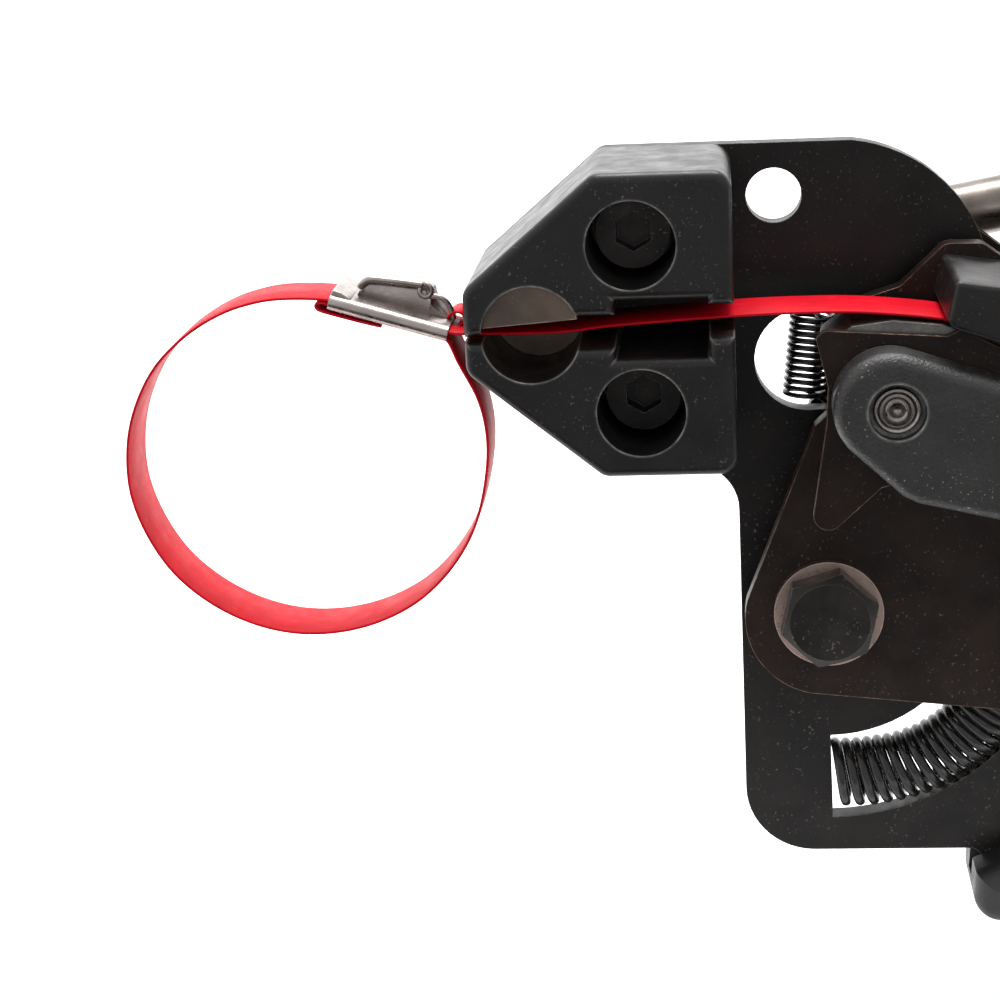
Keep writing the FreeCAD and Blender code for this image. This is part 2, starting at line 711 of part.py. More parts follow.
def build_pivot():
    piece("pivot_bush").turned("bolt_x", "bolt_z", [
        ("bolt_radius+0.05", "-arm_inner"), ("bush_radius", "-arm_inner"),
        ("bush_radius", "arm_inner"), ("bolt_radius+0.05", "arm_inner")])
    for side, low, high in (("front", "-arm_outer-washer_thickness", "-arm_outer"),
                            ("rear", "arm_outer", "arm_outer+washer_thickness")):
        piece("pivot_washer_" + side).turned("bolt_x", "bolt_z", [
            ("bolt_radius+0.25", low), ("washer_radius", low),
            ("washer_radius", high), ("bolt_radius+0.25", high)])
    head = "-arm_outer-washer_thickness"
    nut = "arm_outer+washer_thickness"
    bolt = piece("pivot_bolt")
    bolt.plate(hexagon("bolt_x", "bolt_z", "bolt_head_flats", 13), head,
               head + "-bolt_head_height")
    bolt.disc("bolt_x", "bolt_z", "bolt_radius", nut + "+8.4+1.5", head)
    piece("pivot_nut").plate(hexagon("bolt_x", "bolt_z", "bolt_head_flats"),
                             nut + "+8.4", nut).bore(
        "bolt_x", "bolt_z", "bolt_radius+0.02", nut + "+8.4", nut)


def build_jaw_pin():
    end = "rear_wall_outer+2.4"
    piece("jaw_pin").turned("pin_x", "pin_z", [
        ("0", "fork_front+2.2"), ("pin_radius*0.45", "fork_front+2.2"),
        ("pin_radius*0.6", "fork_front+0.8"), ("pin_radius", "fork_front+0.8"),
        ("pin_radius", "rear_wall_outer+0.2"), ("pin_radius-0.7", "rear_wall_outer+0.2"),
        ("pin_radius-0.7", "rear_wall_outer+1.2"), ("pin_radius", "rear_wall_outer+1.2"),
        ("pin_radius", end), ("0", end)])
    piece("pin_clip").turned("pin_x", "pin_z", [
        ("pin_radius-0.65", "rear_wall_outer+0.22"),
        ("pin_radius+2.6", "rear_wall_outer+0.22"),
        ("pin_radius+2.6", "rear_wall_outer+1.18"),
        ("pin_radius-0.65", "rear_wall_outer+1.18")])
    piece("pin_spacer").turned("pin_x", "pin_z", [
        ("pin_radius+0.05", "-arm_inner"), ("spacer_radius", "-arm_inner"),
        ("spacer_radius", "arm_inner"), ("pin_radius+0.05", "arm_inner")])
    piece("arm_spring_post").disc(*ARM_POST, "post_radius", "arm_outer",
                                  "jaw_spring_radius+0.4")


def build_spring_seat():
    inner, outer = "spring_track-spring_radius", "spring_track+spring_radius"
    seat = piece("spring_seat")
    seat.plate([
        below("bolt_x", "bolt_z", inner, "spring_end_angle") + (inner, 1),
        below("bolt_x", "bolt_z", inner, "spring_end_angle+seat_span_angle"),
        below("bolt_x", "bolt_z", outer, "spring_end_angle+seat_span_angle")
        + (outer, -1),
        below("bolt_x", "bolt_z", outer, "spring_end_angle"),
    ], "arm_inner", "-arm_inner")
    x, z = SEAT_RIVET
    seat.bore(x, z, "rivet_radius+0.05", "arm_inner", "-arm_inner")
    piece("seat_rivet").turned(x, z, [
        ("0", "-arm_outer-1"), ("rivet_radius+0.7", "-arm_outer-1"),
        ("rivet_radius+1.1", "-arm_outer"), ("rivet_radius", "-arm_outer"),
        ("rivet_radius", "arm_outer"), ("rivet_radius+1.1", "arm_outer"),
        ("rivet_radius+0.7", "arm_outer+1"), ("0", "arm_outer+1")])


def build_upper_jaw():
    back, front = "-arm_outer", "nose_front-2"
    under = JAW_UNDERSIDE
    block = piece("upper_jaw_block")
    block.plate([
        under[0], under[1], under[2], from_pin("33", "7.6"), from_pin("33", "18.4"),
        from_pin("10.0", "21.9"), from_pin("8.5", "15.3")],
        back, front, {"1": [0, 3, 4, 5]})
    block.round_face("0.9", front)
    for x, z in JAW_SCREWS:
        block.bore(x, z, "rivet_radius+0.4", back, back + "-8")

    def pad_outline(margin, rise):
        top = [(x, "%s+jaw_pad_thickness+%s" % (z, rise)) for x, z in reversed(under)]
        low = list(under)
        if margin != "0":
            low = [(x, "%s-1" % z) for x, z in under]
        low[0] = (low[0][0] + "+0.8-" + margin, low[0][1] + "-0.27")
        top[2] = (low[0][0], top[2][1] + "-0.27")
        return low + top
    block.cut(pad_outline("0.05", "0.05"), "tie_back+0.85", "tie_front-0.85")
    piece("upper_jaw_insert").plate(pad_outline("0", "0"), "tie_back+0.8",
                                    "tie_front-0.8")
    for name, (x, z) in zip(("left", "right"), JAW_SCREWS):
        piece("jaw_block_screw_" + name).turned(x, z, [
            ("0", "-arm_inner-0.1"), ("rivet_radius+2.1", "-arm_inner-0.1"),
            ("rivet_radius+2.1", "-arm_inner-0.6"),
            ("rivet_radius+0.35", "-arm_inner-1.8"),
            ("rivet_radius+0.35", "-arm_outer-7"), ("0", "-arm_outer-7")])


def along_handle(distance, offset):
    return ("handle_x+(%s)*cos(handle_slope)+(%s)*sin(handle_slope)" % (distance, offset),
            "handle_z-(%s)*sin(handle_slope)+(%s)*cos(handle_slope)" % (distance, offset))


def build_handle():
    eye = "9.9"
    cheek = [
        from_pin("2.2", "9.5") + (eye, 1),
        from_pin("-9.7", "-4.4"),
        from_pin("-8.2", "-6.7"), from_pin("0.9", "-15.2"), from_pin("3.4", "-16.5"),
        from_pin("30", "-22.8"), along_handle("6", "-shank_half_height"),
        along_handle("6", "shank_half_height"), from_pin("30", "0.3")]
    casting = piece("handle_casting")
    casting.plate(cheek, "rear_wall_outer", "fork_front", {"2.5": [2, 3, 4]})
    casting.round_face("2.2", "fork_front")
    casting.cut([("pin_x-30", "pin_z-60"), ("fork_bolt_x+8.6", "pin_z-60"),
                 ("fork_bolt_x+8.6", "pin_z+30"), ("pin_x-30", "pin_z+30")],
                "rear_wall_inner", "fork_inner")
    reach = "handle_reach"
    side = ("shank_y+shank_half_width", "shank_y-shank_half_width")
    shank = casting._sketch("XZ_Plane", ("0", "0", "-(%s)" % side[0]))
    casting._outline(shank, [
        along_handle("1", "-shank_half_height"), along_handle(reach, "-shank_half_height"),
        along_handle(reach, "shank_half_height"), along_handle("1", "shank_half_height")])
    casting._pad(shank, "2*shank_half_width")
    whole = ("rear_wall_outer", "fork_front")
    casting.bore("pin_x", "pin_z", "pin_radius+0.05", *whole)
    casting.bore("pin_x", "pin_z", "pin_recess_radius", "fork_front+2", "fork_front")
    casting.bore("fork_bolt_x", "fork_bolt_z", "handle_bolt_radius+0.1", *whole)

    head, nut = "fork_front", "rear_wall_outer"
    bolt = piece("handle_bolt")
    bolt.plate(hexagon("fork_bolt_x", "fork_bolt_z", "handle_bolt_flats"), head,
               head + "-handle_bolt_head")
    bolt.disc("fork_bolt_x", "fork_bolt_z", "handle_bolt_radius", nut + "+nut_height+1", head)
    piece("handle_nut").plate(hexagon("fork_bolt_x", "fork_bolt_z", "handle_bolt_flats"),
                              nut + "+nut_height", nut).bore(
        "fork_bolt_x", "fork_bolt_z", "handle_bolt_radius+0.02", nut + "+nut_height", nut)

    wall = "upper_grip_wall"
    start = "upper_grip_start"
    outer = "(shank_half_height+%s)" % wall
    grip = piece("upper_grip")
    front, back = "shank_y-shank_half_width-" + wall, "shank_y+shank_half_width+" + wall
    grip.plate([
        along_handle(start, "-" + outer), along_handle("handle_reach+" + wall, "-" + outer),
        along_handle("handle_reach+" + wall, outer), along_handle(start, outer)],
        back, front, {"grip_round": [0, 1, 2, 3]})
    grip.round_edges("3.6", lambda e: all(
        abs(v.Point.y - SHEET.number(front)) < 1e-4 or
        abs(v.Point.y - SHEET.number(back)) < 1e-4 for v in e.Vertexes)
        and abs(e.Vertexes[0].Point.y - e.Vertexes[-1].Point.y) < 1e-4)
    grip.cut([
        along_handle(start + "-1", "-shank_half_height-0.02"),
        along_handle("handle_reach+0.02", "-shank_half_height-0.02"),
        along_handle("handle_reach+0.02", "shank_half_height+0.02"),
        along_handle(start + "-1", "shank_half_height+0.02")],
        side[0] + "+0.02", side[1] + "-0.02")


# -------------------------------------------------------------- gripper body
GRIPPER_RIVETS = (from_pin("8.6", "3.4"), from_pin("7.6", "-6.6"))


def build_gripper():
    back, front = "gripper_back", "cheek_back"
    jaw = piece("gripper_jaw")
    jaw.plate([
        from_pin("-11.9", "9.4"), from_pin("-10.4", "1"), from_pin("-5", "-9.5"),
        from_pin("10", "-10"), from_pin("13", "0"), from_pin("13.4", "11.2"),
        from_pin("8.4", "12.85"), from_pin("0", "13.8"), from_pin("-7", "13.0")],
        back, front, {"1.5": [0, 2, 3], "2": [1]})
    jaw.bore("pin_x", "pin_z", "gripper_bush_radius+0.02", back, front)
    for x, z in GRIPPER_RIVETS:
        jaw.bore(x, z, "rivet_radius+0.05", back, front)
    jaw.bore(*EAR_POST, "post_radius+0.05", back, front)

    cheek = piece("gripper_cheek")
    cheek.plate([
        from_pin("-11.8", "12.7"), from_pin("-13.2", "11.3"), from_pin("-11.2", "2.6"),
        from_pin("-11.6", "-3.9"), from_pin("-15.2", "-27.3"), from_pin("-2.3", "-15.4"),
        from_pin("11", "-12"), from_pin("18", "-3"), from_pin("21.5", "7"),
        from_pin("11.4", "12.4"), from_pin("9.1", "11.2")],
        "cheek_back", "cheek_front", {"1.2": [0, 1], "2.6": [4], "3": [6, 7]})
    cheek.bore("pin_x", "pin_z", "pin_radius+running_clearance", "cheek_back", "cheek_front")
    for x, z in GRIPPER_RIVETS:
        cheek.bore(x, z, "rivet_radius+0.05", "cheek_back", "cheek_front")
    piece("gripper_bush").turned("pin_x", "pin_z", [
        ("pin_radius+running_clearance", front), ("gripper_bush_radius", front),
        ("gripper_bush_radius", back), ("pin_radius+running_clearance", back)])
    for name, (x, z) in zip(("upper", "lower"), GRIPPER_RIVETS):
        piece("gripper_rivet_" + name).disc(x, z, "rivet_radius", back, "cheek_front")
    piece("gripper_spring_post").disc(*EAR_POST, "post_radius",
                                      "-jaw_spring_radius-0.4", "cheek_back")

    low = polar("bolt_x", "bolt_z", "slot_inner+2.2", "-4.9")
    high = polar("bolt_x", "bolt_z", "slot_outer-1.2", "-1.7")
    run = "sqrt((%s-(%s))^2+(%s-(%s))^2)" % (high[0], low[0], high[1], low[1])
    outer = "jaw_spring_radius"
    spring = piece("jaw_spring")
    spring.spun([("0", outer + "-1"), (run, outer + "-1"), (run, outer), ("0", outer)])
    spring.place(low[0], "0", low[1], VEC(0, 1, 0),
                 "-90+asin((%s-(%s))/(%s))/1deg" % (high[0], low[0], run))


# --------------------------------------------------------------- cutter body
def build_cutter():
    front, back = "nose_front+cutter_setback", "hub_front+hub_length"
    shaft = piece("cutter_shaft")
    shaft.disc("cutter_x", "cutter_z", "cutter_radius", back, front)
    flat = "cutter_flat_height"
    far = "cutter_radius+2"
    tilt = "cutter_flat_angle"

    def on_flat(along, rise):
        return ("cutter_x+(%s)*cos(%s)-(%s)*sin(%s)" % (along, tilt, rise, tilt),
                "cutter_z+(%s)*sin(%s)+(%s)*cos(%s)" % (along, tilt, rise, tilt))
    shaft.cut([on_flat("-(%s)" % far, flat), on_flat("-(%s)" % far, "-(%s)" % far),
               on_flat(far, "-(%s)" % far), on_flat(far, flat)],
              front + "+cutter_relief_depth", front)
    hub = piece("cutter_hub")
    hub.disc("cutter_x", "cutter_z", "hub_radius", back, "hub_front")
    hub.round_face("1.5", back, skip_circles=False)
    reach, half = "hub_boss_length", "hub_boss_half"

    def on_boss(along, across):
        return ("cutter_x+(%s)*cos(rod_slope)-(%s)*sin(rod_slope)" % (along, across),
                "cutter_z-rod_drop+(%s)*sin(rod_slope)+(%s)*cos(rod_slope)"
                % (along, across))
    boss = hub._sketch("XZ_Plane", ("0", "0", "-(rod_y+%s)" % half))
    hub._outline(boss, [on_boss("0", "-" + half), on_boss(reach, "-" + half),
                        on_boss(reach, half), on_boss("0", half)])
    hub._pad(boss, "2*" + half)
    hub.bore("cutter_x", "cutter_z", "cutter_radius+0.02", back, "hub_front")
    start = "cutter_radius+1.4"

    def on_rod(label):
        rod_piece = piece(label)
        return rod_piece, lambda: rod_piece.place(
            "cutter_x", "rod_y", "cutter_z-rod_drop", VEC(0, 1, 0), "-rod_slope")
    rod, settle = on_rod("cutter_lever_rod")
    rod.spun([(start, "0"), (start, "rod_radius"), ("rod_length-1.5", "rod_radius"),
              ("rod_length", "rod_radius-1.5"), ("rod_length", "0")])
    settle()
    grip, settle = on_rod("cutter_lever_grip")
    grip_start = "rod_length-rod_grip_length"
    grip.spun([(grip_start, "rod_radius+0.02"), (grip_start, "rod_grip_radius-2"),
               (grip_start + "+2", "rod_grip_radius"),
               ("rod_length", "rod_grip_radius"), ("rod_length+3", "rod_grip_radius-3"),
               ("rod_length+3", "0"), ("rod_length+0.1", "0"),
               ("rod_length+0.1", "rod_radius+0.02")])
    settle()
    # The rod's socket in the hub, bored along the rod's own axis.
    socket = Piece("cutter_hub_socket")
    socket.spun([(start + "-0.1", "0"), (start + "-0.1", "rod_radius+0.03"),
                 ("hub_boss_length+1", "rod_radius+0.03"), ("hub_boss_length+1", "0")])
    socket.place("cutter_x", "rod_y", "cutter_z-rod_drop", VEC(0, 1, 0), "-rod_slope")
    bored = DOC.addObject("Part::Cut", "cutter_hub_bored")
    bored.Base, bored.Tool = hub.body, socket.body
    DOC.recompute()
    hub.result = bored

    piece("cutter_retaining_ring").turned("cutter_x", "cutter_z", [
        ("0", back), ("cutter_radius-2", back), ("cutter_radius-2", back + "+1.6"),
        ("0", back + "+1.6")])


def export_all():
    os.makedirs("parts", exist_ok=True)
    DOC.recompute()
    for part in PIECES:
        holder = getattr(part, "result", part.body)
        features = [holder] + list(part.body.Group)
        bad = [f.Name for f in features if "Invalid" in f.State or "Error" in f.State]
        shape = holder.Shape
        if bad or shape.isNull() or not shape.isValid() or not shape.Solids:
            raise RuntimeError("%s failed: %s" % (part.label, bad))
        holder.Label = part.label if holder is part.body else part.label + "_part"
        shape.exportStep("parts/%s.step" % part.label)


build_frame_plate()
build_nose()
build_lower_grip()
build_return_spring()
build_tie()
build_arm_plates()
build_pivot()
build_jaw_pin()
build_spring_seat()
build_upper_jaw()
build_handle()
build_gripper()
build_cutter()
export_all()
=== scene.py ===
"""Looks of the band-tie tool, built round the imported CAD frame.  Metres throughout."""
import json
import math

import bmesh
import bpy
from mathutils import Matrix, Vector


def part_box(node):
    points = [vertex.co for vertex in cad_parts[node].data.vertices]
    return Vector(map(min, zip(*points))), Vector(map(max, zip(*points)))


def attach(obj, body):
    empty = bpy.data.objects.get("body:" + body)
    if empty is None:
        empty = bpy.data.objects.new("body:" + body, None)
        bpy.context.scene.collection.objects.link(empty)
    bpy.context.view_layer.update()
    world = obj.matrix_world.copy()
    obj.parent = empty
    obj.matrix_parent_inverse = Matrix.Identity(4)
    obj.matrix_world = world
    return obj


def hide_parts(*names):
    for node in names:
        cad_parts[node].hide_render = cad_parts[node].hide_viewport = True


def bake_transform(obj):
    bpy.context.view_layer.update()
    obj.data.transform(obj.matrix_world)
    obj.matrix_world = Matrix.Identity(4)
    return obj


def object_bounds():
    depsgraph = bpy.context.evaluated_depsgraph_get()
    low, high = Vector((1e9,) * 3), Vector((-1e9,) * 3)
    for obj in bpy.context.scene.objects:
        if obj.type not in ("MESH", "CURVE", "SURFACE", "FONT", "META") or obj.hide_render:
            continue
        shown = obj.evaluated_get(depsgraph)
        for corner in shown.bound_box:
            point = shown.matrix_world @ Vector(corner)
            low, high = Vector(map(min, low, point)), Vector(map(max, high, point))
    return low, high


MM = 0.001
TURN = 2 * math.pi
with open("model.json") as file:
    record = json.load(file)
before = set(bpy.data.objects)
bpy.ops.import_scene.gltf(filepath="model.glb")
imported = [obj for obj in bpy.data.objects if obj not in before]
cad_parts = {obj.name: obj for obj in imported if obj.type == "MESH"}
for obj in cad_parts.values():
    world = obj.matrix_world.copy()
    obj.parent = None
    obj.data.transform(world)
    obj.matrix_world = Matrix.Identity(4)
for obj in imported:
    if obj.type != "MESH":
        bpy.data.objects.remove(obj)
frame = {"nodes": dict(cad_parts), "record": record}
NODES = frame["nodes"]
CAD_BOX = [list(corner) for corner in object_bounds()]


# ------------------------------------------------------------------ measurements
def centre(node):
    low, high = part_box(node)
    return (low + high) / 2


def size(node):
    low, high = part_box(node)
    return high - low


BOLT = centre("pivot_bush")
PIN = centre("pin_spacer")
HUB = centre("cutter_hub")
TIE_FRONT, TIE_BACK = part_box("tie_band")[0].y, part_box("tie_band")[1].y
TIE_THICKNESS = 0.5 * MM


# ------------------------------------------------------------------ mesh helpers
def new_mesh(name, verts, faces, smooth=True):
    """Object with that mesh, its faces turned outwards."""
    mesh = bpy.data.meshes.new(name)
    mesh.from_pydata([tuple(v) for v in verts], [], faces)
    mesh.validate()
    tool = bmesh.new()
    tool.from_mesh(mesh)
    bmesh.ops.recalc_face_normals(tool, faces=tool.faces)
    tool.to_mesh(mesh)
    tool.free()
    for polygon in mesh.polygons:
        polygon.use_smooth = smooth
    piece = bpy.data.objects.new(name, mesh)
    bpy.context.scene.collection.objects.link(piece)
    return piece


def smooth_by_angle(piece, degrees):
    """Smooth shading, broken at edges sharper than that angle."""
    for polygon in piece.data.polygons:
        polygon.use_smooth = True
    piece.data.set_sharp_from_angle(angle=math.radians(degrees))


def round_off(piece, width):
    """Small round on every edge over 35 degrees."""
    bevel = piece.modifiers.new("rounded_edges", "BEVEL")
    bevel.width = width
    bevel.segments = 3
    bevel.limit_method = "ANGLE"
    bevel.angle_limit = math.radians(35)
    bevel.harden_normals = False
    smooth_by_angle(piece, 50)


def spline(points, steps):
    """Catmull-Rom curve through the points, with that many steps from one to the next."""
    points = [Vector(p) for p in points]
    out = []
    for i in range(len(points) - 1):
        b, c = points[i], points[i + 1]
        a = points[i - 1] if i else b * 2 - c
        d = points[i + 2] if i + 2 < len(points) else c * 2 - b
        for k in range(steps):
            t = k / steps
            out.append(0.5 * ((2 * b) + (c - a) * t + (2 * a - 5 * b + 4 * c - d) * t * t
                              + (3 * b - a - 3 * c + d) * t ** 3))
    out.append(points[-1])
    return out


def xz_spline(pairs, steps):
    """Curve in the XZ plane through (x, z) pairs in millimetres."""
    return spline([(x * MM, 0, z * MM) for x, z in pairs], steps)


def skin_faces(rings, sides):
    """Quads from each ring of that many points to the next ring."""
    faces = []
    for i in range(rings - 1):
        for k in range(sides):
            a, b = i * sides + k, i * sides + (k + 1) % sides
            faces.append((a, b, b + sides, a + sides))
    return faces


def end_face(rings, sides):
    return tuple((rings - 1) * sides + k for k in range(sides))


def lofted(name, rings):
    """Closed skin through rings of equal length."""
    count, sides = len(rings), len(rings[0])
    faces = skin_faces(count, sides)
    faces += [tuple(range(sides - 1, -1, -1)), end_face(count, sides)]
    return new_mesh(name, [point for ring in rings for point in ring], faces)


def along(path, i):
    """Direction of the path at its point i."""
    return path[min(i + 1, len(path) - 1)] - path[max(i - 1, 0)]


def tube(name, path, radius, sides):
    """Round wire along a path, with closed ends."""
    rings = []
    side = along(path, 0).normalized().orthogonal().normalized()
    for i, point in enumerate(path):
        ahead = along(path, i).normalized()
        side = (side - ahead * side.dot(ahead)).normalized()
        up = ahead.cross(side)
        angles = [TURN * k / sides for k in range(sides)]
        rings.append([point + (side * math.cos(a) + up * math.sin(a)) * radius
                      for a in angles])
    return lofted(name, rings)


def ribbon(name, path, y_front, y_back, thickness):
    """Flat strip along a path in the XZ plane, with rounded edges."""
    half, edge = thickness / 2, thickness * 0.35
    section = []
    for y, sign in ((y_front, 1), (y_back, -1)):
        section += [(y + sign * edge, sign * half), (y + sign * edge * 0.3, sign * half * 0.75),
                    (y, sign * half * 0.3), (y, -sign * half * 0.3),
                    (y + sign * edge * 0.3, -sign * half * 0.75),
                    (y + sign * edge, -sign * half)]
    rings = []
    for i, point in enumerate(path):
        ahead = along(path, i)
        normal = Vector((-ahead.z, 0, ahead.x)).normalized()
        rings.append([Vector((point.x, y, point.z)) + normal * offset
                      for y, offset in section])
    return lofted(name, rings)


def prism(name, outline, y_front, y_back):
    """Solid plate with that XZ outline."""
    n = len(outline)
    verts = [Vector((x, y, z)) for y in (y_front, y_back) for x, z in outline]
    faces = [tuple(range(n)), tuple(range(2 * n - 1, n - 1, -1))]
    faces += [(k, (k + 1) % n, n + (k + 1) % n, n + k) for k in range(n)]
    return new_mesh(name, verts, faces, smooth=False)


def round_about(at, angle, radius, y):
    """Point on a circle round the line along Y through at, turned from straight up."""
    return at.x + radius * math.sin(angle), y, at.z + radius * math.cos(angle)


def turned(name, at, profile, steps=64):
    """Solid of revolution round a line along Y; the profile is (radius, y) pairs."""
    return lofted(name, [[round_about(at, TURN * k / steps, r, y) for k in range(steps)]
                         for r, y in profile])


# ------------------------------------------------------------------ materials
BLOTCHES = (0.35, 0.68)       # noise range over which one colour gives way to the other
FULL_SPREAD = (0.3, 0.7)      # noise range that covers nearly all of the noise
NO_EDGE, FULL_EDGE = 0.995, 0.82   # cosine between the rounded and the true normal


class Tree:
    """Short names for adding and linking nodes."""

    def __init__(self, tree):
        self.tree = tree

    def add(self, kind, **settings):
        node = self.tree.nodes.new(kind)
        for key, setting in settings.items():
            setattr(node, key, setting)
        return node

    def link(self, source, target):
        self.tree.links.new(source, target)

    def remap(self, source, low, high, to_low=0.0, to_high=1.0):
        node = self.add("ShaderNodeMapRange")
        for key, number in zip(("From Min", "From Max", "To Min", "To Max"),
                               (low, high, to_low, to_high)):
            node.inputs[key].default_value = number
        self.link(source, node.inputs["Value"])
        return node.outputs["Result"]

    def math(self, operation, a, b, clamp=True):
        node = self.add("ShaderNodeMath", operation=operation, use_clamp=clamp)
        for socket, source in zip(node.inputs, (a, b)):
            if isinstance(source, (int, float)):
                socket.default_value = source
            else:
                self.link(source, socket)
        return node.outputs[0]


class Nodes(Tree):
    """A material's nodes, with what the materials share."""

    def __init__(self, name):
        self.material = bpy.data.materials.new(name)
        self.material.use_nodes = True
        super().__init__(self.material.node_tree)
        self.shader = self.tree.nodes["Principled BSDF"]
        self.coords = self.add("ShaderNodeTexCoord").outputs["Object"]

    def noise(self, scale, detail=4.0, roughness=0.55, stretch=None):
        node = self.add("ShaderNodeTexNoise")
        node.inputs["Scale"].default_value = scale
        node.inputs["Detail"].default_value = detail
        node.inputs["Roughness"].default_value = roughness
        source = self.coords
        if stretch:
            mapping = self.add("ShaderNodeMapping")
            mapping.inputs["Scale"].default_value = stretch
            self.link(self.coords, mapping.inputs["Vector"])
            source = mapping.outputs["Vector"]
        self.link(source, node.inputs["Vector"])
        return node.outputs["Fac"]

    def mix(self, factor, a, b):
        node = self.add("ShaderNodeMix", data_type="RGBA")
        for socket, source in zip((node.inputs[0], node.inputs[6], node.inputs[7]),
                                  (factor, a, b)):
            if isinstance(source, (tuple, list)):
                socket.default_value = (*source, 1.0)
            elif isinstance(source, (int, float)):
                socket.default_value = source
            else:
                self.link(source, socket)
        return node.outputs[2]

    def edges(self, radius):
        """1 on convex and concave edges, 0 on flats."""
        bevel = self.add("ShaderNodeBevel", samples=6)
        bevel.inputs["Radius"].default_value = radius
        geometry = self.add("ShaderNodeNewGeometry")
        dot = self.add("ShaderNodeVectorMath", operation="DOT_PRODUCT")
        self.link(bevel.outputs["Normal"], dot.inputs[0])
        self.link(geometry.outputs["Normal"], dot.inputs[1])
        return self.remap(dot.outputs["Value"], NO_EDGE, FULL_EDGE)

    def bump(self, height, strength, distance, edge_radius=0.0):
        node = self.add("ShaderNodeBump")
        node.inputs["Strength"].default_value = strength
        node.inputs["Distance"].default_value = distance
        self.link(height, node.inputs["Height"])
        if edge_radius:
            bevel = self.add("ShaderNodeBevel", samples=6)
            bevel.inputs["Radius"].default_value = edge_radius
            self.link(bevel.outputs["Normal"], node.inputs["Normal"])
        self.link(node.outputs["Normal"], self.shader.inputs["Normal"])

    def set(self, **numbers):
        for key, number in numbers.items():
            self.shader.inputs[key.replace("_", " ")].default_value = number


def worn_metal(name, base, tint, edge, rough, grain=(2600, 0.25, 0.00004), specks=0.5,
               edge_radius=0.0005, edge_amount=0.9, metallic=0.0, gloss=0.28,
               dust_scale=1800):
    """Dark finished metal: blotchy colour, dust specks, rubbed edges, fine grain."""
    dust_colour = (0.32, 0.29, 0.26)
    n = Nodes(name)
    blotch = n.remap(n.noise(95, 5), *BLOTCHES)
    colour = n.mix(blotch, base, tint)
    dust = n.remap(n.noise(dust_scale, 2, 0.4), 0.66, 0.76, 0.0, specks)
    dust = n.math("MULTIPLY", dust, n.remap(n.noise(130, 3), 0.38, 0.62))
    colour = n.mix(dust, colour, dust_colour)
    rubbed = n.math("MULTIPLY", n.edges(edge_radius),
                    n.remap(n.noise(420, 4), 0.36, 0.62, 0.15, edge_amount))
    colour = n.mix(rubbed, colour, edge)
    n.link(colour, n.shader.inputs["Base Color"])
    roughness = n.remap(n.noise(240, 4), *FULL_SPREAD, rough - 0.07, rough + 0.1)
    n.link(roughness, n.shader.inputs["Roughness"])
    if metallic:
        n.set(Metallic=metallic)
    else:
        n.link(n.math("MULTIPLY", rubbed, 0.9), n.shader.inputs["Metallic"])
    scale, strength, distance = grain
    n.bump(n.noise(scale, 3, 0.6), strength, distance, edge_radius * 0.6)
    n.set(Specular_IOR_Level=gloss)
    return n.material


def bare_metal(name, base, tint, rough, stretch=(1, 1, 1), grain=1800):
    """Uncoated steel: brushed or turned grain and faint mottling."""
    grain_share, edge_radius = 0.35, 0.0002
    n = Nodes(name)
    mottle = n.remap(n.noise(160, 5), *BLOTCHES)
    fine = n.noise(grain, 3, 0.6, stretch)
    colour = n.mix(mottle, base, tint)
    colour = n.mix(n.remap(fine, 0.35, 0.7, 0.0, grain_share), colour,
                   tuple(c * 0.5 for c in base))
    n.link(colour, n.shader.inputs["Base Color"])
    n.set(Metallic=1.0)
    n.link(n.remap(fine, *FULL_SPREAD, rough - 0.08, rough + 0.12),
           n.shader.inputs["Roughness"])
    n.bump(fine, 0.25, 0.00003, edge_radius)
    return n.material


def coating(name, base, tint, rough):
    """Smooth polymer coating on the tie, faintly uneven, with a few lighter scuffs."""
    scuff_amount = 0.25
    n = Nodes(name)
    colour = n.mix(n.remap(n.noise(140, 4), 0.35, 0.7), base, tint)
    scuff = n.remap(n.noise(700, 3, 0.5, (0.25, 1, 1)), 0.64, 0.74, 0.0, scuff_amount)
    colour = n.mix(scuff, colour, tuple(min(1.0, c * 1.3 + 0.05) for c in base))
    n.link(colour, n.shader.inputs["Base Color"])
    n.link(n.remap(n.noise(300, 3), *FULL_SPREAD, rough - 0.06, rough + 0.08),
           n.shader.inputs["Roughness"])
    n.bump(n.noise(900, 3), 0.12, 0.00003)
    n.set(Specular_IOR_Level=0.1)
    return n.material


def rubber(name):
    """Moulded black grip with a fine leathery grain."""
    dark, light = (0.006, 0.006, 0.0065), (0.014, 0.0135, 0.0135)
    n = Nodes(name)
    cells = n.add("ShaderNodeTexVoronoi", feature="DISTANCE_TO_EDGE")
    cells.inputs["Scale"].default_value = 900
    n.link(n.coords, cells.inputs["Vector"])
    grain = n.remap(cells.outputs["Distance"], 0.0, 0.25)
    colour = n.mix(n.remap(n.noise(70, 4), *BLOTCHES), dark, light)
    n.link(colour, n.shader.inputs["Base Color"])
    n.link(n.remap(n.noise(260, 3), *FULL_SPREAD, 0.42, 0.62), n.shader.inputs["Roughness"])
    n.bump(grain, 0.25, 0.00006)
    return n.material


